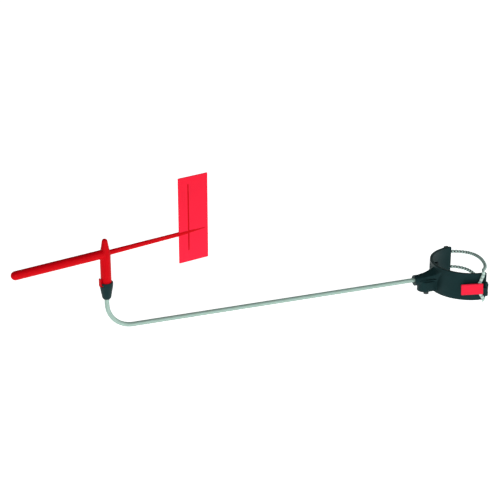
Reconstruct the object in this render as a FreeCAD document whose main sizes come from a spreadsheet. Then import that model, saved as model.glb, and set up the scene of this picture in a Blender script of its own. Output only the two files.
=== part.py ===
"""Mast wind indicator for a small sailing boat, built as separate named pieces.

Frame: +Z runs up along the mast, the origin lies on the mast's axis just above the level of the
support rod, and the rod reaches forward from the mast along -X. Lengths are in millimetres.
"""
import FreeCAD, Part
import Sketcher
import math
import os

V = FreeCAD.Vector
R = FreeCAD.Rotation
P = FreeCAD.Placement

doc = FreeCAD.newDocument("mast_wind_indicator")

# ---------------------------------------------------------------- driving dimensions
sheet = doc.addObject("Spreadsheet::Sheet", "dims")
DIMS = [
    ("rod_dia", 4.76, "support rod diameter"),
    ("rod_level", -1.1, "height of the rod's straight run"),
    ("rod_bend", 26.3, "centre-line radius of the rod's bend"),
    ("spindle_x", -397.7, "spindle axis, ahead of the mast's axis"),
    ("rod_top", 79.0, "top of the rod inside the hub"),
    ("rod_back", -31.0, "end of the rod inside the bracket"),
    ("vane_yaw", 13.9, "heading of the vane at rest, degrees"),
    ("vane_level", 80.3, "height of the vane's nose and tail arm at the hub"),
    ("arm_rise", 1.0, "rise of the tail arm between hub and fin"),
    ("hub_rad", 5.45, "outside radius of the hub tube"),
    ("hub_bore", 3.4, "bore radius of the hub tube"),
    ("hub_foot", 47.7, "lower end of the hub tube"),
    ("hub_shoulder", 79.0, "height where the hub starts to taper"),
    ("hub_tip_base", 93.1, "base of the rounded hub tip"),
    ("hub_tip_rad", 3.0, "radius of the rounded hub tip"),
    ("hub_bore_top", 84.0, "top of the hub bore"),
    ("nose_len", 102.7, "spindle axis to the tip of the nose"),
    ("nose_rad_hub", 4.65, "nose tube radius at the hub"),
    ("nose_rad_tip", 4.55, "nose tube radius at its end"),
    ("nose_dome", 4.7, "length of the rounded nose plug"),
    ("weight_rad", 2.4, "counterweight radius"),
    ("weight_len", 27.0, "counterweight length"),
    ("plug_spigot", 6.0, "length of the nose plug's spigot"),
    ("fin_start", 86.1, "spindle axis to the fin's leading edge"),
    ("fin_wide", 35.2, "fin width"),
    ("fin_tall", 92.4, "fin height"),
    ("fin_base", 48.95, "height of the fin's lower edge"),
    ("fin_thick", 1.6, "fin thickness"),
    ("arm_half_hub", 2.75, "half height of the tail arm at the hub"),
    ("arm_half_fin", 2.4, "half height of the tail arm at the fin"),
    ("arm_side_hub", 2.4, "half width of the tail arm at the hub"),
    ("arm_side_fin", 1.5, "half width of the tail arm at the fin"),
    ("cross_rib_end", 118.5, "spindle axis to the end of the fin's long rib"),
    ("post_rib_x", 97.6, "spindle axis to the fin's upright rib"),
    ("post_rib_low", 61.5, "lower end of the upright rib"),
    ("post_rib_high", 133.5, "upper end of the upright rib"),
    ("jewel_rad", 1.6, "bearing cup radius"),
    ("jewel_base", 81.6, "underside of the bearing cup"),
    ("jewel_mouth", 1.0, "radius of the bearing cup's dish"),
    ("carrier_throat", 1.25, "radius of the carrier's opening for the needle"),
    ("carrier_base", 79.6, "underside of the cup carrier"),
    ("bush_base", 51.0, "lower end of the guide bush"),
    ("bush_len", 7.0, "length of the guide bush"),
    ("spin_gap", 0.07, "running clearance of the bush on the rod"),
    ("needle_rad", 0.6, "pivot needle radius"),
    ("needle_base", 73.0, "lower end of the pivot needle"),
    ("needle_shoulder", 81.2, "height where the needle's point starts"),
    ("needle_tip", 82.95, "tip of the pivot needle"),
    ("collar_base", 47.8, "underside of the rod collar"),
    ("collar_len", 1.5, "rod collar height"),
    ("collar_rad", 3.1, "rod collar outside radius"),
    ("cap_foot", 31.2, "lower end of the retaining cap"),
    ("cap_rim", 49.6, "rim of the retaining cap"),
    ("cap_rad", 6.95, "outside radius of the cap's rim"),
    ("cap_throat", 2.6, "radius of the cap's opening for the rod"),
    ("cap_foot_rad", 3.3, "outside radius at the cap's lower end"),
    ("cap_waist_rad", 4.5, "outside radius just above the cap's lower end"),
    ("cap_inner", 4.2, "radius of the cap's hollow"),
    ("clip_floor", 46.2, "underside of the clip's fork"),
    ("clip_thick", 1.3, "thickness of the clip"),
    ("clip_half", 2.0, "half width of the clip's finger"),
    ("clip_out", 7.4, "spindle axis to the outside of the clip's finger"),
    ("fork_back", 5.4, "spindle axis to the back of the clip's fork"),
    ("fork_reach", 2.6, "reach of the fork's tips past the spindle axis"),
    ("fork_half", 3.6, "half width of the clip's fork"),
    ("clip_top", 54.4, "top of the clip's finger"),
    ("saddle_x", 10.5, "centre of the saddle's arc"),
    ("saddle_out", 40.8, "outside radius of the saddle"),
    ("saddle_in", 37.6, "inside radius of the saddle"),
    ("saddle_low", -17.1, "lower edge of the saddle"),
    ("saddle_high", 13.7, "upper edge of the saddle"),
    ("near_end_x", 12.2, "end of the latch-side wing"),
    ("far_end_x", 11.0, "end of the strap-side wing"),
    ("flange_thick", 4.8, "thickness of the strap-side flange"),
    ("flange_out", 47.6, "outer edge of the strap-side flange"),
    ("flange_in", 36.0, "inner edge of the strap-side flange"),
    ("flange_high", 11.9, "upper edge of the strap-side flange"),
    ("socket_mouth", -54.0, "open end of the rod socket"),
    ("socket_rad", 5.8, "outside radius of the rod socket"),
    ("socket_level", -1.6, "height of the socket's centre"),
    ("socket_back", -27.6, "station where the socket and boss run into the saddle"),
    ("groove_low", -1.4, "lower edge of the groove between socket and boss"),
    ("groove_high", 0, "upper edge of the groove between socket and boss"),
    ("groove_in", 4.7, "floor of the groove, sideways"),
    ("boss_x", -41.7, "centre of the clamp boss's rounded end"),
    ("boss_rad", 7.3, "half width of the clamp boss"),
    ("boss_high", -3.4, "shoulder of the clamp boss"),
    ("boss_low", -14.5, "underside of the clamp boss"),
    ("screw_x", -38.4, "clamp screw axis"),
    ("screw_rad", 2.0, "clamp screw shank radius"),
    ("screw_head_rad", 2.9, "clamp screw head radius"),
    ("driver_flat", 2.5, "hexagon socket in the clamp screw, across flats"),
    ("screw_head_low", -19.2, "underside of the clamp screw head"),
    ("nut_flat", 7.0, "clamp nut, across flats"),
    ("nut_low", -10.2, "underside of the clamp nut"),
    ("nut_tall", 3.2, "height of the clamp nut"),
    ("mast_rad", 25.0, "radius of the mast the pad seats"),
    ("pad_low", -13.0, "lower edge of the mast pad"),
    ("pad_high", 6.0, "upper edge of the mast pad"),
    ("pad_cut_x", -13.0, "ends of the mast pad"),
    ("strap_rad", 1.4, "strap strand radius"),
    ("strap_hole", 1.9, "strap hole radius in the flange"),
    ("strap_y", 42.4, "strap holes, sideways from the mast axis"),
    ("strap_high", 6.6, "upper strap hole"),
    ("strap_low", -11.8, "lower strap hole"),
    ("strap_over_x", 7.8, "where the upper strand crosses the wing's edge"),
    ("strap_under_x", 9.4, "where the lower strand crosses the wing's edge"),
    ("keeper_thick", 2.0, "strap keeper thickness"),
    ("keeper_screw_rad", 1.1, "keeper screw shank radius"),
    ("keeper_head_rad", 1.9, "keeper screw head radius"),
    ("keeper_screw_y", 44.0, "keeper screws, sideways from the mast axis"),
    ("pin_x", 10.1, "latch pin axis"),
    ("pin_y", -44.2, "latch pin axis, sideways"),
    ("pin_rad", 1.25, "latch pin radius"),
    ("pin_gap", 0.06, "running clearance of the lever on its pin"),
    ("ear_rad", 2.6, "latch ear radius"),
    ("ear_low", -10.9, "underside of the lower ear"),
    ("ear_high", 2.1, "shoulder of the upper ear"),
    ("ear_tip", 4.8, "top of the upper ear's tapered cap"),
    ("ear_tip_rad", 1.6, "radius of the tapered cap's top"),
    ("knuckle_low", -5.8, "underside of the lever's knuckle"),
    ("knuckle_high", -0.6, "top of the lever's knuckle"),
    ("knuckle_rad", 2.4, "radius of the lever's knuckle"),
    ("ear_gap", 0.2, "gap between knuckle and ears"),
    ("lever_turn", -19.0, "heading of the closed lever, degrees"),
    ("lever_tilt", 2.6, "tilt of the lever's plate in its own plane, degrees"),
    ("lever_left", -27.4, "free end of the cover, from the pin"),
    ("lever_right", -3.8, "pin end of the cover, from the pin"),
    ("lever_low", -7.7, "lower edge of the cover"),
    ("lever_high", 4.5, "upper edge of the cover"),
    ("core_face", -2.4, "lever core's inner face, from the pin"),
    ("core_thick", 1.2, "lever core thickness"),
    ("cover_thick", 2.0, "cover thickness"),
    ("hook_x", -6.0, "hook post, from the pin"),
    ("hook_rad", 1.4, "hook post radius"),
    ("hook_reach", 0.6, "hook post's inner end, from the pin"),
    ("hook_level", -2.2, "height of the hook post"),
]
D = {}
for row, (alias, value, note) in enumerate(DIMS, start=1):
    sheet.set("A%d" % row, note)
    sheet.set("B%d" % row, str(value))
    sheet.setAlias("B%d" % row, alias)
    D[alias] = value
doc.recompute()


# ---------------------------------------------------------------- small builders
def bind(obj, **props):
    """Tie properties of an object to expressions on the sheet's values."""
    for prop, text in props.items():
        obj.setExpression(prop.replace("__", "."), text)
    return obj


def at(obj, x="0", y="0", z="0"):
    """Place an object with expressions for its position."""
    obj.setExpression("Placement.Base.x", x)
    obj.setExpression("Placement.Base.y", y)
    obj.setExpression("Placement.Base.z", z)
    return obj


def make(kind, name):
    return doc.addObject(kind, name)


def rod_z(name, rad, low, high, x="0", y="0"):
    """An upright cylinder between two heights."""
    obj = make("Part::Cylinder", name)
    bind(obj, Radius=rad, Height="(%s) - (%s)" % (high, low))
    return at(obj, x, y, low)


def rod_x(name, rad, low, high, y="0", z="0"):
    """A cylinder lying along X between two stations."""
    obj = make("Part::Cylinder", name)
    obj.Placement = P(V(0, 0, 0), R(V(0, 1, 0), 90))
    bind(obj, Radius=rad, Height="(%s) - (%s)" % (high, low))
    return at(obj, low, y, z)


def cone_z(name, rad_low, rad_high, low, high, x="0", y="0"):
    """An upright cone frustum."""
    obj = make("Part::Cone", name)
    bind(obj, Radius1=rad_low, Radius2=rad_high, Height="(%s) - (%s)" % (high, low))
    return at(obj, x, y, low)


def cone_x(name, rad_low, rad_high, low, high, y="0", z="0"):
    """A cone frustum lying along X."""
    obj = make("Part::Cone", name)
    obj.Placement = P(V(0, 0, 0), R(V(0, 1, 0), 90))
    bind(obj, Radius1=rad_low, Radius2=rad_high, Height="(%s) - (%s)" % (high, low))
    return at(obj, low, y, z)


def block(name, x, y, z):
    """A box from three (low, high) pairs of expressions."""
    obj = make("Part::Box", name)
    bind(obj, Length="(%s) - (%s)" % (x[1], x[0]), Width="(%s) - (%s)" % (y[1], y[0]),
         Height="(%s) - (%s)" % (z[1], z[0]))
    return at(obj, x[0], y[0], z[0])


def fuse(name, shapes):
    obj = make("Part::MultiFuse", name)
    obj.Shapes = shapes
    obj.Refine = True
    return obj


def cut(name, base, tools):
    """Base less one or more tools."""
    tool = tools[0]
    if len(tools) > 1:
        tool = make("Part::MultiFuse", name + "_tools")
        tool.Shapes = tools
    obj = make("Part::Cut", name)
    obj.Base = base
    obj.Tool = tool
    obj.Refine = True
    return obj


def common(name, base, tool):
    obj = make("Part::MultiCommon", name)
    obj.Shapes = [base, tool]
    return obj


def prism(name, points, low, high, turn):
    """A closed polygon in a sketch, pushed out between two offsets along the sketch's normal."""
    sketch = make("Sketcher::SketchObject", name + "_outline")
    sketch.Placement = P(V(0, 0, 0), turn)
    ring = points + [points[0]]
    for a, b in zip(ring[:-1], ring[1:]):
        sketch.addGeometry(Part.LineSegment(V(a[0], a[1], 0), V(b[0], b[1], 0)))
    for i in range(len(points)):
        sketch.addConstraint(Sketcher.Constraint("Coincident", i, 2, (i + 1) % len(points), 1))
    for i, (px, py) in enumerate(points):
        sketch.addConstraint(Sketcher.Constraint("DistanceX", -1, 1, i, 1, px))
        sketch.addConstraint(Sketcher.Constraint("DistanceY", -1, 1, i, 1, py))
    obj = make("Part::Extrusion", name)
    obj.Base = sketch
    obj.DirMode = "Normal"
    obj.LengthFwd = high
    obj.LengthRev = -low
    obj.Solid = True
    return obj


def ellipse(name, major, minor, place):
    """An ellipse, its long axis along the placement's local X."""
    obj = make("Part::Ellipse", name)
    obj.Placement = place
    bind(obj, MajorRadius=major, MinorRadius=minor)
    return obj


def loft(name, sections):
    obj = make("Part::Loft", name)
    obj.Sections = sections
    obj.Solid = True
    obj.Ruled = True
    return obj


FINAL = []


def node(obj, label, place=None):
    """Register a finished piece under its file and node name."""
    obj.Label = label
    if place == "vane":
        obj.Placement = P(V(0, 0, 0), R(V(0, 0, 1), D["vane_yaw"]))
        bind(obj, Placement__Base__x="dims.spindle_x", Placement__Rotation__Angle="dims.vane_yaw")
    if place == "lever":
        obj.Placement = P(V(0, 0, 0), R(V(0, 0, 1), D["lever_turn"]))
        bind(obj, Placement__Base__x="dims.pin_x", Placement__Base__y="dims.pin_y")
    FINAL.append(obj)
    return obj


# ---------------------------------------------------------------- vane moulding
# Built about the spindle with the tail along +X; the vane's Placement turns and moves it.
hub_tube = rod_z("hub_tube", "dims.hub_rad", "dims.hub_foot", "dims.hub_shoulder")
hub_cone = cone_z("hub_cone", "dims.hub_rad", "dims.hub_tip_rad", "dims.hub_shoulder",
                  "dims.hub_tip_base")
hub_tip = make("Part::Sphere", "hub_tip")
at(bind(hub_tip, Radius="dims.hub_tip_rad"), z="dims.hub_tip_base")
nose_tube = cone_x("nose_tube", "dims.nose_rad_tip", "dims.nose_rad_hub",
                   "-dims.nose_len + dims.nose_dome", "0", z="dims.vane_level")
SIDE = R(V(0, 1, 0), 90)
arm_start = at(ellipse("arm_start", "dims.arm_half_hub", "dims.arm_side_hub", P(V(), SIDE)),
               "dims.hub_rad - 3", z="dims.vane_level")
arm_end = at(ellipse("arm_end", "dims.arm_half_fin", "dims.arm_side_fin", P(V(), SIDE)),
             "dims.fin_start + 1", z="dims.vane_level + dims.arm_rise")
tail_arm = loft("tail_arm", [arm_start, arm_end])
rib_start = at(ellipse("rib_start", "dims.arm_half_fin", "dims.arm_side_fin", P(V(), SIDE)),
               "dims.fin_start + 1", z="dims.vane_level + dims.arm_rise")
rib_end = at(ellipse("rib_end", "1.1", "0.6", P(V(), SIDE)),
             "dims.cross_rib_end", z="dims.vane_level + dims.arm_rise + 1.1")
rib_end.setExpression("MinorRadius", "dims.fin_thick / 2 + 0.15")
cross_rib = loft("cross_rib", [rib_start, rib_end])
fin_plate = block("fin_plate", ("dims.fin_start", "dims.fin_start + dims.fin_wide"),
                  ("-dims.fin_thick / 2", "dims.fin_thick / 2"),
                  ("dims.fin_base", "dims.fin_base + dims.fin_tall"))
ACROSS = R(V(0, 0, 1), 90)
post_parts = []
for i, (height, wide) in enumerate([("dims.post_rib_low", "0.5"), ("dims.post_rib_low + 14", "1.0"),
                                    ("dims.post_rib_high - 12", "1.0"), ("dims.post_rib_high", "0.5")]):
    ring = ellipse("post_ring_%d" % i, "dims.fin_thick / 2 + 0.6", wide, P(V(), ACROSS))
    post_parts.append(at(ring, "dims.post_rib_x", z=height))
post_rib = loft("post_rib", post_parts)
hub_bore = rod_z("hub_bore_tool", "dims.hub_bore", "dims.hub_foot - 1", "dims.hub_bore_top")
nose_bore = rod_x("nose_bore_tool", "dims.weight_rad + 0.05", "-dims.nose_len",
                  "-dims.nose_len + dims.nose_dome + dims.plug_spigot + dims.weight_len",
                  z="dims.vane_level")
vane_solid = fuse("vane_solid", [hub_tube, hub_cone, hub_tip, nose_tube, tail_arm, cross_rib,
                                 fin_plate, post_rib])
node(cut("vane_body", vane_solid, [hub_bore, nose_bore]), "vane_moulding", "vane")

# Nose plug: half an ellipsoid on a spigot that closes the weight's bore.
plug_dome = make("Part::Ellipsoid", "plug_dome")
bind(plug_dome, Radius1="dims.nose_dome", Radius2="dims.nose_rad_tip", Radius3="dims.nose_rad_tip")
plug_dome.Angle1 = 0
plug_dome.Placement = P(V(), R(V(0, 1, 0), -90))
at(plug_dome, "-dims.nose_len + dims.nose_dome", z="dims.vane_level")
plug_spigot = rod_x("plug_spigot_rod", "dims.weight_rad", "-dims.nose_len + dims.nose_dome - 1",
                    "-dims.nose_len + dims.nose_dome + dims.plug_spigot", z="dims.vane_level")
node(fuse("plug", [plug_dome, plug_spigot]), "nose_plug", "vane")

# Counterweight: a turned rod with a centre mark in its outer end.
weight_rod = rod_x("weight_rod", "dims.weight_rad", "-dims.nose_len + dims.nose_dome + dims.plug_spigot",
                   "-dims.nose_len + dims.nose_dome + dims.plug_spigot + dims.weight_len",
                   z="dims.vane_level")
weight_mark = cone_x("weight_mark", "0.8", "0.1", "-dims.nose_len + dims.nose_dome + dims.plug_spigot",
                     "-dims.nose_len + dims.nose_dome + dims.plug_spigot + 0.9", z="dims.vane_level")
node(cut("weight", weight_rod, [weight_mark]), "nose_counterweight", "vane")

# ---------------------------------------------------------------- bearing inside the hub
carrier_blank = rod_z("carrier_blank", "dims.hub_bore", "dims.carrier_base", "dims.hub_bore_top")
carrier_pocket = rod_z("carrier_pocket", "dims.jewel_rad", "dims.jewel_base", "dims.hub_bore_top + 1")
carrier_throat = rod_z("carrier_throat", "dims.carrier_throat", "dims.carrier_base - 1",
                       "dims.jewel_base + 0.5")
node(cut("carrier", carrier_blank, [carrier_pocket, carrier_throat]), "bearing_carrier", "vane")

jewel_blank = rod_z("jewel_blank", "dims.jewel_rad", "dims.jewel_base", "dims.hub_bore_top")
jewel_dish = cone_z("jewel_dish", "dims.jewel_mouth", "0.15", "dims.jewel_base", "dims.jewel_base + 1.5")
node(cut("jewel", jewel_blank, [jewel_dish]), "bearing_cup", "vane")

bush_blank = rod_z("bush_blank", "dims.hub_bore", "dims.bush_base", "dims.bush_base + dims.bush_len")
bush_hole = rod_z("bush_hole", "dims.rod_dia / 2 + dims.spin_gap", "dims.bush_base - 1",
                  "dims.bush_base + dims.bush_len + 1")
node(cut("bush", bush_blank, [bush_hole]), "guide_bush", "vane")

# ---------------------------------------------------------------- retaining cap and clip
cap_body = make("PartDesign::Body", "cap_body")
cap_sketch = cap_body.newObject("Sketcher::SketchObject", "cap_profile")
cap_plane = [f for f in cap_body.Origin.OriginFeatures if f.Role == "XZ_Plane"][0]
cap_sketch.AttachmentSupport = [(cap_plane, "")]
cap_sketch.MapMode = "FlatFace"
CAP_PROFILE = [
    ("dims.cap_throat", "dims.cap_foot"),
    ("dims.cap_foot_rad", "dims.cap_foot"),
    ("dims.cap_waist_rad", "dims.cap_foot + 1.5"),
    ("dims.cap_rad", "dims.cap_rim - 3.6"),
    ("dims.cap_rad", "dims.cap_rim"),
    ("dims.hub_rad", "dims.cap_rim"),
    ("dims.hub_rad", "dims.hub_foot"),
    ("dims.cap_inner", "dims.hub_foot"),
    ("dims.cap_inner", "dims.clip_floor - 0.3"),
    ("dims.cap_throat", "dims.clip_floor - 0.3"),
]
CAP_START = [tuple(cap_sketch.evalExpression(text) for text in point) for point in CAP_PROFILE]
for a, b in zip(CAP_START, CAP_START[1:] + CAP_START[:1]):
    cap_sketch.addGeometry(Part.LineSegment(V(a[0], a[1], 0), V(b[0], b[1], 0)))
for i in range(len(CAP_START)):
    cap_sketch.addConstraint(Sketcher.Constraint("Coincident", i, 2, (i + 1) % len(CAP_START), 1))
for i, (px, py) in enumerate(CAP_START):
    cx = cap_sketch.addConstraint(Sketcher.Constraint("DistanceX", -1, 1, i, 1, px))
    cy = cap_sketch.addConstraint(Sketcher.Constraint("DistanceY", -1, 1, i, 1, py))
    cap_sketch.setExpression("Constraints[%d]" % cx, CAP_PROFILE[i][0])
    cap_sketch.setExpression("Constraints[%d]" % cy, CAP_PROFILE[i][1])
cap_turn = cap_body.newObject("PartDesign::Revolution", "cap_turn")
cap_turn.Profile = cap_sketch
cap_turn.ReferenceAxis = (cap_sketch, ["V_Axis"])
cap_turn.Angle = 360
cap_window = block("cap_window", ("-dims.cap_rad - 1", "-dims.hub_rad + 0.2"),
                   ("-dims.clip_half - 0.3", "dims.clip_half + 0.3"),
                   ("dims.clip_floor - 0.3", "dims.cap_rim + 1"))
cap_slot = block("cap_slot", ("-dims.cap_rad - 1", "dims.fork_reach + 1.2"),
                 ("-dims.fork_half - 0.2", "dims.fork_half + 0.2"),
                 ("dims.clip_floor - 0.2", "dims.clip_floor + dims.clip_thick + 0.2"))
node(cut("cap", cap_body, [cap_window, cap_slot]), "retaining_cap", "vane")

fork_plate = block("fork_plate", ("-dims.fork_back", "dims.fork_reach"),
                   ("-dims.fork_half", "dims.fork_half"),
                   ("dims.clip_floor", "dims.clip_floor + dims.clip_thick"))
fork_round = rod_z("fork_round", "dims.rod_dia / 2 + 0.1", "dims.clip_floor - 1",
                   "dims.clip_floor + dims.clip_thick + 1")
fork_mouth = block("fork_mouth", ("0", "4"), ("-dims.rod_dia / 2 - 0.1", "dims.rod_dia / 2 + 0.1"),
                   ("dims.clip_floor - 1", "dims.clip_floor + dims.clip_thick + 1"))
fork = cut("fork", fork_plate, [fork_round, fork_mouth])
clip_foot = block("clip_foot", ("-dims.clip_out", "-dims.fork_back + 0.2"),
                  ("-dims.clip_half", "dims.clip_half"),
                  ("dims.clip_floor", "dims.clip_floor + dims.clip_thick"))
clip_finger = block("clip_finger", ("-dims.clip_out", "-dims.clip_out + dims.clip_thick"),
                    ("-dims.clip_half", "dims.clip_half"),
                    ("dims.clip_floor", "dims.clip_top"))
node(fuse("clip", [fork, clip_foot, clip_finger]), "retaining_clip", "vane")

# ---------------------------------------------------------------- support rod
rod_long = rod_x("rod_long", "dims.rod_dia / 2", "dims.spindle_x + dims.rod_bend", "dims.rod_back",
                 z="dims.rod_level")
rod_elbow = make("Part::Torus", "rod_elbow")
bind(rod_elbow, Radius1="dims.rod_bend", Radius2="dims.rod_dia / 2")
rod_elbow.Angle3 = 90
ELBOW = FreeCAD.Matrix(-1, 0, 0, 0, 0, 0, -1, 0, 0, -1, 0, 0, 0, 0, 0, 1)
rod_elbow.Placement = P(ELBOW)
at(rod_elbow, "dims.spindle_x + dims.rod_bend", z="dims.rod_level + dims.rod_bend")
rod_post = rod_z("rod_post", "dims.rod_dia / 2", "dims.rod_level + dims.rod_bend", "dims.rod_top",
                 x="dims.spindle_x")
rod_well = rod_z("rod_well", "dims.needle_rad", "dims.needle_base", "dims.rod_top + 1",
                 x="dims.spindle_x")
node(cut("rod", fuse("rod_solid", [rod_long, rod_elbow, rod_post]), [rod_well]), "support_rod")

needle_shank = rod_z("needle_shank", "dims.needle_rad", "dims.needle_base", "dims.needle_shoulder",
                     x="dims.spindle_x")
needle_point = cone_z("needle_point", "dims.needle_rad", "0.08", "dims.needle_shoulder",
                      "dims.needle_tip", x="dims.spindle_x")
node(fuse("needle", [needle_shank, needle_point]), "pivot_needle")

collar_blank = rod_z("collar_blank", "dims.collar_rad", "dims.collar_base",
                     "dims.collar_base + dims.collar_len", x="dims.spindle_x")
collar_hole = rod_z("collar_hole", "dims.rod_dia / 2", "dims.collar_base - 1",
                    "dims.collar_base + dims.collar_len + 1", x="dims.spindle_x")
node(cut("collar", collar_blank, [collar_hole]), "rod_collar")

# ---------------------------------------------------------------- mast bracket
saddle_disc = rod_z("saddle_disc", "dims.saddle_out", "dims.saddle_low", "dims.saddle_high",
                    x="dims.saddle_x")
far_trim = block("far_trim", ("dims.far_end_x", "60"), ("0", "60"), ("-30", "30"))
near_trim = block("near_trim", ("dims.near_end_x", "60"), ("-60", "0.01"), ("-30", "30"))
flange = block("flange", ("dims.far_end_x - dims.flange_thick", "dims.far_end_x"),
               ("dims.flange_in", "dims.flange_out"), ("dims.saddle_low", "dims.flange_high"))
socket = rod_x("socket", "dims.socket_rad", "dims.socket_mouth", "dims.socket_back",
               z="dims.socket_level")
boss_end = rod_z("boss_end", "dims.boss_rad", "dims.boss_low", "dims.boss_high", x="dims.boss_x")
boss_block = block("boss_block", ("dims.boss_x", "dims.socket_back"),
                   ("-dims.boss_rad", "dims.boss_rad"), ("dims.boss_low", "dims.boss_high"))
# The web rises as a ridge from the socket to the saddle's rim and flares out along the wall.
# Each section: its station along X, then half its outline as (sideways, height) from the ridge
# down to the underside.
WEB = [
    (-47.0, [(0, 4.9), (2.6, 4.0), (4.6, 2.0), (5.0, -1.5), (4.6, -4.5), (2.5, -6.6)]),
    (-42.0, [(0, 6.1), (2.2, 4.9), (4.9, 2.2), (5.1, -1.5), (4.8, -4.5), (2.5, -7.0)]),
    (-38.0, [(0, 7.7), (2.2, 6.0), (5.6, 2.9), (5.4, -1.5), (5.0, -5.0), (2.5, -8.0)]),
    (-34.0, [(0, 9.2), (2.5, 6.8), (6.4, 3.6), (6.0, -0.8), (5.4, -6.0), (2.5, -9.0)]),
    (-31.2, [(0, 10.8), (3.4, 8.4), (8.8, 5.4), (7.6, 0.0), (6.0, -7.0), (2.5, -10.0)]),
    (-28.8, [(0, 12.8), (5.6, 10.8), (13.4, 9.4), (10.4, 2.8), (6.8, -7.5), (2.5, -11.0)]),
    (-26.4, [(0, 13.5), (8.0, 13.4), (17.6, 13.4), (12.7, 4.6), (7.2, -7.5), (2.5, -11.0)]),
]


def ring_at(name, x, points):
    """A closed polygon of (y, z) points standing across X."""
    obj = make("Part::Feature", name)
    obj.Shape = Part.makePolygon([V(x, y, z) for y, z in points + points[:1]])
    return obj


web_rings = []
for i, (x, half) in enumerate(WEB):
    other_half = [(-y, z) for y, z in reversed(half[1:])]
    web_rings.append(ring_at("web_ring_%d" % i, x, half + other_half))
web = loft("web", web_rings)
# A groove along each side of the socket parts it from the clamp boss below.
grooves = [block("groove_%d" % i, ("dims.socket_mouth + 4", "dims.socket_back - 3"), span,
                 ("dims.groove_low", "dims.groove_high"))
           for i, span in enumerate([("-9", "-dims.groove_in"), ("dims.groove_in", "9")])]
ear_spans = {"upper": ("dims.knuckle_high + dims.ear_gap", "dims.ear_high"),
             "lower": ("dims.ear_low", "dims.knuckle_low - dims.ear_gap")}
ears = []
for side, (low, high) in ear_spans.items():
    ears.append(rod_z("ear_" + side, "dims.ear_rad", low, high, x="dims.pin_x", y="dims.pin_y"))
    ears.append(block("ear_root_" + side, ("dims.pin_x - 2.3", "dims.near_end_x"),
                      ("dims.pin_y", "-dims.saddle_in - 1"), (low, high)))
ears.append(cone_z("ear_cap", "dims.ear_rad", "dims.ear_tip_rad", "dims.ear_high", "dims.ear_tip",
                   x="dims.pin_x", y="dims.pin_y"))
blank = fuse("bracket_blank", [saddle_disc, flange, socket, boss_end, boss_block, web] + ears)
saddle_hollow = rod_z("saddle_hollow", "dims.saddle_in", "-40", "40", x="dims.saddle_x")
# The latch-side trim stops short of the ears, which reach past the wing's end.
near_clear = cut("near_clear", near_trim,
                 [block("ear_keep", ("dims.near_end_x - 1", "dims.pin_x + dims.ear_rad + 1"),
                        ("-60", "-dims.saddle_out - 0.2"), ("dims.ear_low", "dims.ear_tip + 1"))])
# The wing's lower corner is cut off on a slant to clear the strap.
corner_cut = prism("corner_cut", [(8.0, -17.8), (14.0, -17.8), (14.0, -13.2)], 30.0, 50.0,
                   R(V(1, 0, 0), 90))
rod_hole = rod_x("rod_hole", "dims.rod_dia / 2 + 0.05", "dims.socket_mouth - 1", "dims.rod_back",
                 z="dims.rod_level")
mouth_flare = cone_x("mouth_flare", "dims.rod_dia / 2 + 1.0", "dims.rod_dia / 2 + 0.05",
                     "dims.socket_mouth", "dims.socket_mouth + 1.2", z="dims.rod_level")
screw_hole = rod_z("screw_hole", "dims.screw_rad + 0.05", "dims.boss_low - 1", "dims.rod_level",
                   x="dims.screw_x")


def hexagon(name, flat, low, high, x):
    """A hexagonal prism from its width across flats."""
    obj = make("Part::Prism", name)
    obj.Polygon = 6
    bind(obj, Circumradius="(%s) / 2 / cos(30)" % flat, Height="(%s) - (%s)" % (high, low))
    return at(obj, x, z=low)


nut_pocket = hexagon("nut_pocket", "dims.nut_flat + 0.1", "dims.nut_low - 0.05",
                     "dims.nut_low + dims.nut_tall + 0.05", "dims.screw_x")
hole_span = ("dims.far_end_x - dims.flange_thick - 6", "dims.far_end_x + 1")
strap_hole_high = rod_x("strap_hole_high", "dims.strap_hole", hole_span[0], hole_span[1],
                        y="dims.strap_y", z="dims.strap_high")
strap_hole_low = rod_x("strap_hole_low", "dims.strap_hole", hole_span[0], hole_span[1],
                       y="dims.strap_y", z="dims.strap_low")
keeper_zs = ["dims.strap_high - 4.6", "dims.strap_low + 4.6"]
keeper_holes = [rod_x("keeper_hole_%d" % i, "dims.keeper_screw_rad", "0", "dims.far_end_x - 0.8",
                      y="dims.keeper_screw_y", z=z) for i, z in enumerate(keeper_zs)]
pin_hole = rod_z("pin_hole", "dims.pin_rad", "dims.ear_low - 1", "dims.ear_high",
                 x="dims.pin_x", y="dims.pin_y")
node(cut("bracket", blank, [saddle_hollow, far_trim, near_clear, corner_cut, rod_hole, mouth_flare,
                            screw_hole, nut_pocket, strap_hole_high, strap_hole_low, pin_hole]
         + keeper_holes + grooves), "mast_bracket")

# ---------------------------------------------------------------- rod clamp
screw_head = rod_z("screw_head", "dims.screw_head_rad", "dims.screw_head_low", "dims.boss_low",
                   x="dims.screw_x")
screw_shank = rod_z("screw_shank", "dims.screw_rad", "dims.boss_low - 0.5",
                    "dims.rod_level - dims.rod_dia / 2 - 0.03", x="dims.screw_x")
driver = hexagon("driver", "dims.driver_flat", "dims.screw_head_low - 1", "dims.screw_head_low + 1.6",
                 "dims.screw_x")
node(cut("screw", fuse("screw_solid", [screw_head, screw_shank]), [driver]), "clamp_screw")

nut_blank = hexagon("nut_blank", "dims.nut_flat", "dims.nut_low", "dims.nut_low + dims.nut_tall",
                    "dims.screw_x")
nut_bore = rod_z("nut_bore", "dims.screw_rad", "dims.nut_low - 1",
                 "dims.nut_low + dims.nut_tall + 1", x="dims.screw_x")
node(cut("nut", nut_blank, [nut_bore]), "clamp_nut")

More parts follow.
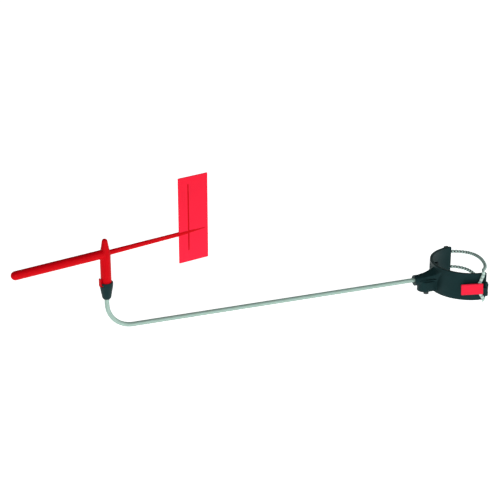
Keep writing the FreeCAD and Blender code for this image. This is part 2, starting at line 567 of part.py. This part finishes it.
# ---------------------------------------------------------------- mast pad
pad_disc = rod_z("pad_disc", "dims.saddle_in", "dims.pad_low", "dims.pad_high", x="dims.saddle_x")
pad_core = rod_z("pad_core", "dims.mast_rad", "dims.pad_low - 1", "dims.pad_high + 1")
pad_ring = cut("pad_ring", pad_disc, [pad_core])
pad_frame = block("pad_frame", ("-30", "dims.pad_cut_x"), ("-22.4", "22.4"),
                  ("dims.pad_low", "dims.pad_high"))
node(common("pad", pad_ring, pad_frame), "mast_pad")

# ---------------------------------------------------------------- strap
# One flexible strap: two strands leave the flange, loop round the mast, cross the edges of
# the latch-side wing and join at the lever's hook. It is drawn slack, as one plain cord.
LOOP = [(14.1, 41.7), (17.3, 40.3), (20.1, 38.2), (22.7, 35.7), (25.0, 32.8), (26.9, 29.4),
        (28.2, 24.9), (29.2, 19.8), (29.4, 13.4), (28.8, 5.5), (26.6, -5.1), (21.3, -20.3)]


# For each strand: its hole's height, its height over the wing's edge, where it crosses the edge,
# and how late along the strand its height changes.
EDGE_GAP = D["strap_rad"] + 0.4
SIDES = {
    1: (D["strap_high"], D["saddle_high"] + EDGE_GAP, D["strap_over_x"], 2),
    -1: (D["strap_low"], D["saddle_low"] - EDGE_GAP, D["strap_under_x"], 4),
}


def strand(side):
    """One strand from its tail to the wing's edge; side is 1 for the upper and -1 for the lower."""
    hole, edge, cross_x, lateness = SIDES[side]
    turns = LOOP + [(cross_x + 6.7, -31.2), (cross_x + 0.8, -38.8)]
    points = [V(x, D["strap_y"], hole) for x in (-3.0, 1.5, 6.0, D["far_end_x"])]
    for i, (x, y) in enumerate(turns):
        share = ((i + 1) / float(len(turns))) ** lateness
        points.append(V(x, y, hole + (edge - hole) * share))
    ring = D["saddle_out"]
    points.append(V(cross_x + 0.25, -ring + 0.6, edge - side * 0.05))
    points.append(V(cross_x, -ring - 0.6, edge - side * 0.35))
    points.append(V(cross_x - 0.25, -ring - 1.4, edge - side * 1.0))
    return points


def on_wall(x, height):
    """A point just off the saddle's outer face."""
    ring = D["saddle_out"] + D["strap_rad"] + 0.15
    return V(x, -math.sqrt(ring ** 2 - (x - D["saddle_x"]) ** 2), height)


# The yoke leaves each edge, runs straight to the hook post and bends round its far side.
turn_rad = D["hook_rad"] + D["strap_rad"] + 0.2
hook_mid = D["pin_x"] + D["hook_x"] * math.cos(math.radians(D["lever_turn"]))


def yoke_arm(side):
    """One arm of the yoke, from the wing's edge to the point where it meets the post."""
    edge, cross_x = SIDES[side][1:3]
    start_x = cross_x - 0.5
    start_z = edge - side * 3.2
    reach = start_x - hook_mid
    rise = abs(start_z - D["hook_level"])
    touch = math.atan2(rise, reach) + math.acos(turn_rad / math.hypot(reach, rise))
    touch_x = hook_mid + turn_rad * math.cos(touch)
    touch_z = D["hook_level"] + side * turn_rad * math.sin(touch)
    return [on_wall(start_x + (touch_x - start_x) * share, start_z + (touch_z - start_z) * share)
            for share in (0.0, 0.25, 0.5, 0.75, 1.0)]


strap_points = strand(1) + yoke_arm(1) + [on_wall(hook_mid - turn_rad, D["hook_level"])]
strap_points += reversed(strand(-1) + yoke_arm(-1))
stations = [0.0]
for before, after in zip(strap_points[:-1], strap_points[1:]):
    stations.append(stations[-1] + before.distanceToPoint(after))
strap_curve = Part.BSplineCurve()
strap_curve.interpolate(Points=strap_points, Parameters=stations)
STRAP_STEPS = 72
STRAP_SIDES = 12
strap_rings = []
across = V(0, 0, 1)
first = strap_curve.FirstParameter
span = strap_curve.LastParameter - first
for step in range(STRAP_STEPS + 1):
    station = first + span * step / STRAP_STEPS
    spot = strap_curve.value(station)
    along = strap_curve.tangent(station)[0]
    across = (across - along * across.dot(along)).normalize()
    beside = along.cross(across)
    ring = []
    for side in range(STRAP_SIDES):
        angle = 2 * math.pi * side / STRAP_SIDES
        ring.append(spot + (across * math.cos(angle) + beside * math.sin(angle)) * D["strap_rad"])
    strap_rings.append(Part.makePolygon(ring + ring[:1]))
strap_sweep = make("Part::Feature", "strap_cord")
strap_sweep.Shape = Part.makeLoft(strap_rings, True, True)
node(strap_sweep, "strap")

keeper_plate = block("keeper_plate",
                     ("dims.far_end_x - dims.flange_thick - dims.keeper_thick",
                      "dims.far_end_x - dims.flange_thick"), ("41.4", "dims.flange_out"),
                     ("dims.strap_low - 3.6", "dims.strap_high + 3.6"))
keeper_back = "dims.far_end_x - dims.flange_thick - dims.keeper_thick"
keeper_tools = [rod_x("keeper_strap_%d" % i, "dims.strap_hole", "0", "20", y="dims.strap_y", z=z)
                for i, z in enumerate(["dims.strap_high", "dims.strap_low"])]
keeper_tools += [rod_x("keeper_screw_hole_%d" % i, "dims.keeper_screw_rad", "0", "20",
                       y="dims.keeper_screw_y", z=z) for i, z in enumerate(keeper_zs)]
node(cut("keeper", keeper_plate, keeper_tools), "strap_keeper")

keeper_screws = []
for i, z in enumerate(keeper_zs):
    shank = rod_x("keeper_shank_%d" % i, "dims.keeper_screw_rad", keeper_back + " - 0.4",
                  "dims.far_end_x - 1.2", y="dims.keeper_screw_y", z=z)
    head = rod_x("keeper_head_%d" % i, "dims.keeper_head_rad", keeper_back + " - 1.5", keeper_back,
                 y="dims.keeper_screw_y", z=z)
    cross = block("keeper_cross_%d" % i, (keeper_back + " - 1.6", keeper_back + " - 0.8"),
                  ("dims.keeper_screw_y - 1.4", "dims.keeper_screw_y + 1.4"),
                  ("(%s) - 0.3" % z, "(%s) + 0.3" % z))
    keeper_screws.append(cut("keeper_screw_%d" % i, fuse("keeper_solid_%d" % i, [shank, head]),
                             [cross]))
screw_pair = make("Part::Compound", "keeper_screw_pair")
screw_pair.Links = keeper_screws
node(screw_pair, "keeper_screws")

# ---------------------------------------------------------------- latch
# Built about the pin with the lever along -X and its outside towards -Y.
PLATE_MID = V((D["lever_left"] + D["lever_right"]) / 2, 0, (D["lever_low"] + D["lever_high"]) / 2)


def tilted(name, plate):
    """A plate tilted about its middle, in its own plane."""
    obj = make("Part::Compound", name)
    obj.Links = [plate]
    obj.Placement = P(V(), R(V(0, 1, 0), -D["lever_tilt"]), PLATE_MID)
    return obj


core_plate = block("core_plate", ("dims.lever_left + 0.8", "dims.lever_right - 0.5"),
                   ("dims.core_face - dims.core_thick", "dims.core_face"),
                   ("dims.lever_low + 0.8", "dims.lever_high - 0.8"))
core_tilt = tilted("core_tilt", core_plate)
knuckle = rod_z("knuckle", "dims.knuckle_rad", "dims.knuckle_low", "dims.knuckle_high")
neck = block("neck", ("dims.lever_right - 1.4", "0"), ("dims.core_face - dims.core_thick", "-0.7"),
             ("dims.knuckle_low", "dims.knuckle_high"))
hook_post = make("Part::Cylinder", "hook_post")
hook_post.Placement = P(V(), R(V(1, 0, 0), 90))
bind(hook_post, Radius="dims.hook_rad", Height="dims.hook_reach - dims.core_face + 0.4")
at(hook_post, "dims.hook_x", "dims.hook_reach", "dims.hook_level")
knuckle_bore = rod_z("knuckle_bore", "dims.pin_rad + dims.pin_gap", "dims.knuckle_low - 1",
                     "dims.knuckle_high + 1")
node(cut("lever", fuse("lever_solid", [core_tilt, knuckle, neck, hook_post]), [knuckle_bore]),
     "latch_lever", "lever")

cover_plate = block("cover_plate", ("dims.lever_left", "dims.lever_right"),
                    ("dims.core_face - dims.core_thick - dims.cover_thick",
                     "dims.core_face - dims.core_thick"), ("dims.lever_low", "dims.lever_high"))
cover_round = make("Part::Fillet", "cover_round")
cover_round.Base = cover_plate
doc.recompute()
outer_y = cover_plate.Shape.BoundBox.YMin
round_edges = []
for i, edge in enumerate(cover_plate.Shape.Edges, start=1):
    upright = abs(edge.BoundBox.YMax - edge.BoundBox.YMin) > 1.0
    outer = edge.BoundBox.YMax < outer_y + 0.01
    if upright or outer:
        round_edges.append((i, 0.8, 0.8))
cover_round.Edges = round_edges
cover = make("Part::Compound", "cover")
cover.Links = [tilted("cover_tilt", cover_round)]
node(cover, "latch_cover", "lever")

node(rod_z("pin", "dims.pin_rad", "dims.ear_low + 0.2", "dims.ear_high - 0.2", x="dims.pin_x",
           y="dims.pin_y"), "latch_pin")

# ---------------------------------------------------------------- check and write
doc.recompute()
for obj in doc.Objects:
    for word in ("Invalid", "Error"):
        if word in obj.State:
            raise RuntimeError("%s (%s) is %s" % (obj.Name, obj.Label, word))
os.makedirs("parts", exist_ok=True)
for obj in FINAL:
    shape = obj.Shape
    if shape.isNull() or not shape.isValid():
        raise RuntimeError("%s has no valid shape" % obj.Label)
    shape.exportStep("parts/%s.step" % obj.Label)
    print(obj.Label, len(shape.Solids), round(shape.Volume, 1), shape.BoundBox)
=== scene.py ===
"""Looks for the mast wind indicator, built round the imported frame. Lengths are in metres."""
import math

import bmesh
import bpy
from mathutils import Matrix, Vector


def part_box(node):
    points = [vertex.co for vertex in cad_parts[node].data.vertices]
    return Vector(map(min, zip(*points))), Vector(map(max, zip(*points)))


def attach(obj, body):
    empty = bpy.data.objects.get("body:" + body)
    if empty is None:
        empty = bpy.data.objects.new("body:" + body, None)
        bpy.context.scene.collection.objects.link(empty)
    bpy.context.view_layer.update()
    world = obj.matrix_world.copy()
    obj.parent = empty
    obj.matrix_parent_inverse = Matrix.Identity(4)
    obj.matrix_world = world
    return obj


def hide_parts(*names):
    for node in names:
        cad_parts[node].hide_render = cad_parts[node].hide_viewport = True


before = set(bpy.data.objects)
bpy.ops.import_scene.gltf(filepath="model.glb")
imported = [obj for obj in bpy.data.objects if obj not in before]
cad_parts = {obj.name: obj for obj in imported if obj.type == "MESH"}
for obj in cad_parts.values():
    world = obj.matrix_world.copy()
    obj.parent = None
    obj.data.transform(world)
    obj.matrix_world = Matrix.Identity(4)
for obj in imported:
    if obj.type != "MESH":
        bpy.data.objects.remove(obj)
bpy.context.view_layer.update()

MM = 0.001
scene = bpy.context.scene


# ------------------------------------------------------------------ measures from the frame
def mid(node):
    low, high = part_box(node)
    return (low + high) / 2


SPINDLE = mid("pivot_needle")
VANE_YAW = math.radians(13.9)
VANE_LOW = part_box("vane_moulding")[0].z
FIN_START = 85.8 * MM        # from the spindle to just ahead of the fin
FIN_HALF = 0.92 * MM         # half thickness of the bare fin, with a little to spare
FIN_TALL = 92.4 * MM
POST_RIB = 97.6 * MM         # from the spindle to the fin's upright rib
RIB_DIM_HALF = 0.75 * MM        # half width of the band along the rib where the painted glow is weaker, so the rib reads darker
POST_RIB_LOW, POST_RIB_HIGH = 61.5 * MM, 133.5 * MM
# painted light on the fin, an emitted glow: its strength at the bottom, how much it falls to the
# top, and its strength on the rib
GLOW_PAINT_LOW, GLOW_PAINT_FALL, RIB_GLOW_PAINT = 0.39, 0.11, 0.12
FLOOR_DROP = 34 * MM
FLOOR_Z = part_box("strap")[0].z - FLOOR_DROP


# ------------------------------------------------------------------ mesh helpers
def new_object(name, bm, body, stands_for=(), material=None):
    """A smooth-shaded piece from a bmesh, riding on a CAD body and standing for its nodes."""
    mesh = bpy.data.meshes.new(name)
    bm.to_mesh(mesh)
    bm.free()
    obj = bpy.data.objects.new(name, mesh)
    scene.collection.objects.link(obj)
    for poly in mesh.polygons:
        poly.use_smooth = True
    if material is not None:
        mesh.materials.append(material)
    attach(obj, body)
    if stands_for:
        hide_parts(*stands_for)
    return obj


def apply_modifiers(obj):
    """Freeze the modifiers into the mesh."""
    graph = bpy.context.evaluated_depsgraph_get()
    mesh = bpy.data.meshes.new_from_object(obj.evaluated_get(graph))
    obj.modifiers.clear()
    obj.data = mesh
    for poly in mesh.polygons:
        poly.use_smooth = True


def mark(obj, name, share):
    """Give a mesh a per-point attribute from a function of the point's place."""
    values = obj.data.attributes.new(name, "FLOAT", "POINT")
    values.data.foreach_set("value", [share(v.co) for v in obj.data.vertices])


def moulded(name, node, body, voxel, rounds, material, keep=1.0):
    """A moulding's softened skin: the CAD solid with its edges rounded over.

    voxel is the skin's cell size, rounds how often it is softened and keep the share of its
    faces that stay when it is thinned out.
    """
    bm = bmesh.new()
    bm.from_mesh(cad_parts[node].data)
    obj = new_object(name, bm, body, (node,), material)
    remesh = obj.modifiers.new("skin", "REMESH")
    remesh.mode = "VOXEL"
    remesh.voxel_size = voxel
    soften = obj.modifiers.new("soften", "SMOOTH")
    soften.factor = 0.5
    soften.iterations = rounds
    if keep < 1:
        thin_out = obj.modifiers.new("thin_out", "DECIMATE")
        thin_out.ratio = keep
    bpy.context.view_layer.update()
    apply_modifiers(obj)
    obj.data.materials.clear()
    obj.data.materials.append(material)
    return obj


# ------------------------------------------------------------------ materials
def node_tree(name):
    mat = bpy.data.materials.new(name)
    mat.use_nodes = True
    nodes = mat.node_tree.nodes
    return mat, nodes, mat.node_tree.links, nodes["Principled BSDF"]


def plastic(name, base, dark, rough, grain, bump, scale, specular=0.5, mottle=60, sheen=(1, 1, 1)):
    """A moulded plastic with tone mottling, uneven gloss and a fine surface grain."""
    mat, nodes, links, shader = node_tree(name)
    coords = nodes.new("ShaderNodeTexCoord")
    blotch = nodes.new("ShaderNodeTexNoise")
    blotch.inputs["Scale"].default_value = mottle
    blotch.inputs["Detail"].default_value = 5
    links.new(coords.outputs["Object"], blotch.inputs["Vector"])
    mix = nodes.new("ShaderNodeMix")
    mix.name = "tone"
    mix.data_type = "RGBA"
    mix.inputs["A"].default_value = (*base, 1)
    mix.inputs["B"].default_value = (*dark, 1)
    links.new(blotch.outputs["Fac"], mix.inputs["Factor"])
    links.new(mix.outputs["Result"], shader.inputs["Base Color"])
    fine = nodes.new("ShaderNodeTexNoise")
    fine.inputs["Scale"].default_value = scale
    fine.inputs["Detail"].default_value = 3
    links.new(coords.outputs["Object"], fine.inputs["Vector"])
    spread = nodes.new("ShaderNodeMapRange")
    spread.inputs["To Min"].default_value = rough - grain
    spread.inputs["To Max"].default_value = rough + grain
    links.new(fine.outputs["Fac"], spread.inputs["Value"])
    links.new(spread.outputs["Result"], shader.inputs["Roughness"])
    relief = nodes.new("ShaderNodeBump")
    relief.inputs["Strength"].default_value = bump
    relief.inputs["Distance"].default_value = 0.0001
    links.new(fine.outputs["Fac"], relief.inputs["Height"])
    links.new(relief.outputs["Normal"], shader.inputs["Normal"])
    shader.inputs["Specular IOR Level"].default_value = specular
    shader.inputs["Specular Tint"].default_value = (*sheen, 1)
    return mat


def paint_emission(mat, tint):
    """Paint light onto the fin: a soft emitted glow, as strong as the mesh's own attribute says."""
    nodes, links = mat.node_tree.nodes, mat.node_tree.links
    shader = nodes["Principled BSDF"]
    marks = nodes.new("ShaderNodeAttribute")
    marks.attribute_name = "painted_glow"
    links.new(marks.outputs["Fac"], shader.inputs["Emission Strength"])
    shader.inputs["Emission Color"].default_value = (*tint, 1)


def paint_groove_shade(mat, painted_shade_tone):
    """Paint shade into the grooves that a mesh marks with its own attribute: the base colour darkens
    there.
    """
    nodes, links = mat.node_tree.nodes, mat.node_tree.links
    shader = nodes["Principled BSDF"]
    marks = nodes.new("ShaderNodeAttribute")
    marks.attribute_name = "shade_in_groove"
    mix = nodes.new("ShaderNodeMix")
    mix.data_type = "RGBA"
    mix.inputs["B"].default_value = (*painted_shade_tone, 1)
    links.new(marks.outputs["Fac"], mix.inputs["Factor"])
    links.new(nodes["tone"].outputs["Result"], mix.inputs["A"])
    links.new(mix.outputs["Result"], shader.inputs["Base Color"])


def steel(name, tone, rough, stretch, metallic=1.0):
    """Drawn or turned steel with faint streaks."""
    mat, nodes, links, shader = node_tree(name)
    coords = nodes.new("ShaderNodeTexCoord")
    mapping = nodes.new("ShaderNodeMapping")
    mapping.inputs["Scale"].default_value = stretch
    links.new(coords.outputs["Object"], mapping.inputs["Vector"])
    streak = nodes.new("ShaderNodeTexNoise")
    streak.inputs["Scale"].default_value = 1.0
    streak.inputs["Detail"].default_value = 6
    links.new(mapping.outputs["Vector"], streak.inputs["Vector"])
    spread = nodes.new("ShaderNodeMapRange")
    spread.inputs["To Min"].default_value = rough - 0.08
    spread.inputs["To Max"].default_value = rough + 0.08
    links.new(streak.outputs["Fac"], spread.inputs["Value"])
    links.new(spread.outputs["Result"], shader.inputs["Roughness"])
    mix = nodes.new("ShaderNodeMix")
    mix.data_type = "RGBA"
    mix.inputs["A"].default_value = (*[c * 0.8 for c in tone], 1)
    mix.inputs["B"].default_value = (*tone, 1)
    links.new(streak.outputs["Fac"], mix.inputs["Factor"])
    links.new(mix.outputs["Result"], shader.inputs["Base Color"])
    relief = nodes.new("ShaderNodeBump")
    relief.inputs["Strength"].default_value = 0.15
    relief.inputs["Distance"].default_value = 0.00005
    links.new(streak.outputs["Fac"], relief.inputs["Height"])
    links.new(relief.outputs["Normal"], shader.inputs["Normal"])
    shader.inputs["Metallic"].default_value = metallic
    return mat


RED = plastic("red_gloss", (0.57, 0.001, 0.006), (0.50, 0.001, 0.004),
              rough=0.34, grain=0.05, bump=0.06, scale=900, specular=0.04)
# painted light: the red moulding glows pinkish wherever its mesh carries the painted-glow attribute
paint_emission(RED, (1.0, 0.05, 0.14))
COVER = plastic("red_cover", (0.84, 0.012, 0.045), (0.78, 0.009, 0.036),
                rough=0.36, grain=0.06, bump=0.1, scale=1100, specular=0.12)
BLACK = plastic("black_satin", (0.008, 0.022, 0.023), (0.004, 0.012, 0.013),
                rough=0.45, grain=0.08, bump=0.5, scale=2200, specular=0.18, sheen=(0.35, 0.9, 0.95))
ROD = steel("rod_satin", (0.35, 0.49, 0.43), 0.5, (60, 900, 900), metallic=0.25)
PIN = steel("small_steel", (0.42, 0.44, 0.44), 0.3, (700, 700, 90))
BRASS = steel("turned_brass", (0.72, 0.53, 0.22), 0.3, (700, 700, 90))
PAD = plastic("pad_rubber", (0.006, 0.015, 0.016), (0.003, 0.009, 0.010),
              rough=0.75, grain=0.08, bump=0.6, scale=1500, specular=0.1)
SCREW = plastic("screw_black", (0.010, 0.022, 0.023), (0.004, 0.012, 0.013),
                rough=0.3, grain=0.08, bump=0.2, scale=2500, specular=0.4)
CORD = plastic("strap_cord", (0.52, 0.66, 0.61), (0.42, 0.56, 0.51),
               rough=0.42, grain=0.06, bump=0.25, scale=1200, specular=0.2, mottle=400)
# painted shade: the cord's grooves between beads are darkened towards near black
paint_groove_shade(CORD, (0.005, 0.014, 0.013))
CERAMIC = plastic("bearing_ceramic", (0.7, 0.75, 0.8), (0.65, 0.7, 0.76),
                  rough=0.15, grain=0.03, bump=0.02, scale=800)
BUSH = plastic("bush_plastic", (0.75, 0.75, 0.7), (0.7, 0.7, 0.66),
               rough=0.45, grain=0.05, bump=0.1, scale=800)


# ------------------------------------------------------------------ softened mouldings
def fin_light_paint(place):
    """How strong the painted glow is at a point of the fin: stronger towards the bottom, weaker on
    its rib, none elsewhere.
    """
    out = place - SPINDLE
    ahead = out.x * math.cos(VANE_YAW) + out.y * math.sin(VANE_YAW)
    aside = out.y * math.cos(VANE_YAW) - out.x * math.sin(VANE_YAW)
    if ahead < FIN_START or abs(aside) > FIN_HALF:
        return 0.0
    if abs(ahead - POST_RIB) < RIB_DIM_HALF and POST_RIB_LOW < place.z < POST_RIB_HIGH:
        return RIB_GLOW_PAINT
    return GLOW_PAINT_LOW - GLOW_PAINT_FALL * (place.z - VANE_LOW) / FIN_TALL


vane = moulded("vane_skin", "vane_moulding", "vane", 0.36 * MM, 2, RED)
# painted light: the fin gets an emitted glow that stands in for light, stronger low down
mark(vane, "painted_glow", fin_light_paint)
moulded("nose_plug_skin", "nose_plug", "vane", 0.24 * MM, 2, RED, 0.5)
moulded("cap_skin", "retaining_cap", "vane", 0.18 * MM, 3, BLACK, 0.4)
moulded("clip_skin", "retaining_clip", "clip", 0.12 * MM, 2, RED, 0.4)
moulded("bracket_skin", "mast_bracket", "mount", 0.28 * MM, 2, BLACK, 0.4)
moulded("lever_skin", "latch_lever", "lever", 0.2 * MM, 2, BLACK, 0.4)
moulded("cover_skin", "latch_cover", "lever", 0.2 * MM, 4, COVER, 0.4)
moulded("pad_skin", "mast_pad", "mount", 0.4 * MM, 3, PAD, 0.4)
moulded("keeper_skin", "strap_keeper", "mount", 0.24 * MM, 2, BLACK, 0.4)

PAINT = {
    "support_rod": (ROD, "rod_steel"),
    "rod_collar": (PIN, "pin_steel"),
    "pivot_needle": (PIN, "pin_steel"),
    "clamp_screw": (SCREW, "screw_black"),
    "clamp_nut": (BRASS, "weight_brass"),
    "keeper_screws": (PIN, "pin_steel"),
    "latch_pin": (PIN, "pin_steel"),
    "nose_counterweight": (BRASS, "weight_brass"),
    "bearing_carrier": (BRASS, "weight_brass"),
    "bearing_cup": (CERAMIC, "bearing_ceramic"),
    "guide_bush": (BUSH, "bush_plastic"),
}
for node, (material, slot) in PAINT.items():
    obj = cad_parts[node]
    obj.data.materials.clear()
    obj.data.materials.append(material)


# ------------------------------------------------------------------ strap
MERGE = 0.02 * MM        # points of the CAD mesh closer than this are one
RING_REACH = 3.2 * MM    # the first ring's points lie this close together
RING_FLAT = 0.9 * MM     # and this close along X
BEAD_PITCH = 3.8 * MM
BEAD_RADIUS = 1.95 * MM
NECK_RADIUS = 1.3 * MM
TAIL_RADIUS = 1.35 * MM
YOKE_WIDE = 1.85 * MM
YOKE_DEEP = 1.38 * MM
YOKE_FROM = -36.5 * MM   # the yoke starts here along Y
YOKE_BLEND = 3.0 * MM    # and is fully smooth this much further out
RINGS_PER_BEAD = 12
STEP = BEAD_PITCH / RINGS_PER_BEAD
SMOOTHINGS = 12
STRAP_SIDES = 16
SADDLE_AXIS = Vector((10.5 * MM, 0, 0))
FLANGE_X = 11.0 * MM
FLANGE_SIDE = 20 * MM


def centre_line(node):
    """The centre line of a swept cord, read ring by ring from its CAD mesh."""
    bm = bmesh.new()
    bm.from_mesh(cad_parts[node].data)
    bmesh.ops.remove_doubles(bm, verts=bm.verts, dist=MERGE)
    start = min(bm.verts, key=lambda v: (v.co.x, -v.co.z)).co.copy()
    level = [v for v in bm.verts
             if (v.co - start).length < RING_REACH and abs(v.co.x - start.x) < RING_FLAT]
    seen = set(level)
    centres = []
    while level:
        centres.append(sum((v.co for v in level), Vector()) / len(level))
        level = [n for n in {e.other_vert(v) for v in level for e in v.link_edges} if n not in seen]
        seen.update(level)
    bm.free()
    return centres


def resample(points, spacing):
    """Even stations along a polyline."""
    out = [points[0].copy()]
    need = spacing
    for a, b in zip(points[:-1], points[1:]):
        leg = (b - a).length
        done = 0.0
        while leg - done >= need:
            done += need
            out.append(a.lerp(b, done / leg))
            need = spacing
        need -= leg - done
    return out


def smooth_path(points, rounds):
    """Take the small kinks out of a polyline; its ends stay."""
    for _ in range(rounds):
        inner = [(a + 2 * b + c) / 4 for a, b, c in zip(points, points[1:], points[2:])]
        points = [points[0]] + inner + [points[-1]]
    return points


def yoke_share(spot):
    """0 on the beaded strands and the tails, 1 on the smooth yoke against the wing."""
    return min(1.0, max(0.0, (YOKE_FROM - spot.y) / YOKE_BLEND))


def is_tail(spot):
    """Whether a point is on the plain ends that pass through the flange."""
    return spot.x < FLANGE_X + 0.5 * MM and spot.y > FLANGE_SIDE


def strap_ring(bm, layer, spot, along, across, run):
    """One ring of the cord: beads and grooves, and the grooves' painted shade, by the distance run
    along it.
    """
    smooth = yoke_share(spot)
    wave = 0.5 + 0.5 * math.cos(2 * math.pi * run / BEAD_PITCH)
    beaded = NECK_RADIUS + (BEAD_RADIUS - NECK_RADIUS) * (1 - (1 - wave) ** 1.6)
    if is_tail(spot):
        deep = wide = TAIL_RADIUS
        shade_in_groove = 0.0
    else:
        deep = beaded * (1 - smooth) + YOKE_DEEP * smooth
        wide = beaded * (1 - smooth) + YOKE_WIDE * smooth
        # painted shade in the groove between beads, half as strong on the yoke
        shade_in_groove = (1 - 0.5 * smooth) * max(0.0, 1 - wave * 1.6)
    beside = along.cross(across)
    ring = []
    for side in range(STRAP_SIDES):
        angle = 2 * math.pi * side / STRAP_SIDES
        vert = bm.verts.new(spot + across * math.cos(angle) * deep + beside * math.sin(angle) * wide)
        vert[layer] = shade_in_groove
        ring.append(vert)
    return ring


path = smooth_path(resample(centre_line("strap"), STEP), SMOOTHINGS)
bm = bmesh.new()
# per-point painted shade for the cord's grooves
shade_layer = bm.verts.layers.float.new("shade_in_groove")
rings = []
across = Vector((0, 0, 1))
run = 0.0
for i, spot in enumerate(path):
    along = (path[min(i + 1, len(path) - 1)] - path[max(i - 1, 0)]).normalized()
    smooth = yoke_share(spot)
    if smooth > 0:
        outward = Vector((spot.x - SADDLE_AXIS.x, spot.y, 0)).normalized()
        across = (outward - along * outward.dot(along)).normalized().lerp(across, 1 - smooth)
    across = (across - along * across.dot(along)).normalized()
    if not is_tail(spot):
        run += STEP
    rings.append(strap_ring(bm, shade_layer, spot, along, across, run))
for a, b in zip(rings[:-1], rings[1:]):
    for side in range(STRAP_SIDES):
        beyond = (side + 1) % STRAP_SIDES
        bm.faces.new((a[side], a[beyond], b[beyond], b[side]))
bm.faces.new(rings[0][::-1])
bm.faces.new(rings[-1])
bmesh.ops.recalc_face_normals(bm, faces=bm.faces)
strap = new_object("strap_cord_skin", bm, "mount", ("strap",), CORD)


# ------------------------------------------------------------------ floor, light and camera
def paper_floor(height):
    """A wide pale sheet under the object, bright enough to read as white."""
    bm = bmesh.new()
    bmesh.ops.create_grid(bm, x_segments=1, y_segments=1, size=6)
    mesh = bpy.data.meshes.new("floor")
    bm.to_mesh(mesh)
    bm.free()
    floor = bpy.data.objects.new("floor", mesh)
    floor.location = (0, 0, height)
    scene.collection.objects.link(floor)
    mat, nodes, links, shader = node_tree("floor_paper")
    shader.inputs["Base Color"].default_value = (0.92, 0.92, 0.92, 1)
    shader.inputs["Roughness"].default_value = 0.9
    shader.inputs["Specular IOR Level"].default_value = 0.1
    shader.inputs["Emission Color"].default_value = (1, 1, 1, 1)
    shader.inputs["Emission Strength"].default_value = 0.9
    mesh.materials.append(mat)


def area_light(name, place, aim, size, power):
    data = bpy.data.lights.new(name, "AREA")
    data.shape = "RECTANGLE"
    data.size, data.size_y = size
    data.energy = power
    obj = bpy.data.objects.new(name, data)
    obj.location = place
    obj.rotation_mode = "QUATERNION"
    obj.rotation_quaternion = (Vector(aim) - Vector(place)).to_track_quat("-Z", "Y")
    scene.collection.objects.link(obj)


def studio_world():
    """Bright near the horizon and dark overhead, with a faint green cast."""
    world = bpy.data.worlds.new("studio")
    scene.world = world
    world.use_nodes = True
    nodes, links = world.node_tree.nodes, world.node_tree.links
    coords = nodes.new("ShaderNodeTexCoord")
    split = nodes.new("ShaderNodeSeparateXYZ")
    links.new(coords.outputs["Generated"], split.inputs["Vector"])
    fade = nodes.new("ShaderNodeMapRange")
    fade.inputs["From Min"].default_value = 0.05
    fade.inputs["From Max"].default_value = 0.5
    fade.inputs["To Min"].default_value = 0.95
    fade.inputs["To Max"].default_value = 0.03
    links.new(split.outputs["Z"], fade.inputs["Value"])
    links.new(fade.outputs["Result"], nodes["Background"].inputs["Strength"])
    nodes["Background"].inputs["Color"].default_value = (0.82, 1, 0.96, 1)


def studio_camera(place, azimuth, elevation, lens):
    """A level camera from its place and the angles that it looks along."""
    right = Vector((math.cos(azimuth), math.sin(azimuth), 0))
    back = Vector((math.sin(azimuth) * math.cos(elevation), -math.cos(azimuth) * math.cos(elevation),
                   math.sin(elevation)))
    up = back.cross(right)
    data = bpy.data.cameras.new("camera")
    data.lens = lens
    data.sensor_width = 36
    data.clip_start = 0.05
    data.clip_end = 50
    camera = bpy.data.objects.new("camera", data)
    turn = Matrix((right, up, back)).transposed().to_4x4()
    camera.matrix_world = Matrix.Translation(place) @ turn
    scene.collection.objects.link(camera)
    scene.camera = camera


paper_floor(FLOOR_Z)
CENTRE = (-0.22, 0, 0.05)
area_light("front", (-0.9, -2.4, 0.9), CENTRE, (2.4, 1.2), 33)
area_light("right", (1.6, -1.2, 0.9), CENTRE, (1.2, 1.0), 14)
area_light("over", (-0.2, 0.8, 2.2), CENTRE, (1.6, 1.0), 2)
studio_world()
studio_camera((-0.7484, -1.3357, 0.6479), math.radians(-20.68), math.radians(22.32), 108)
scene.view_settings.view_transform = "Standard"
scene.view_settings.look = "None"
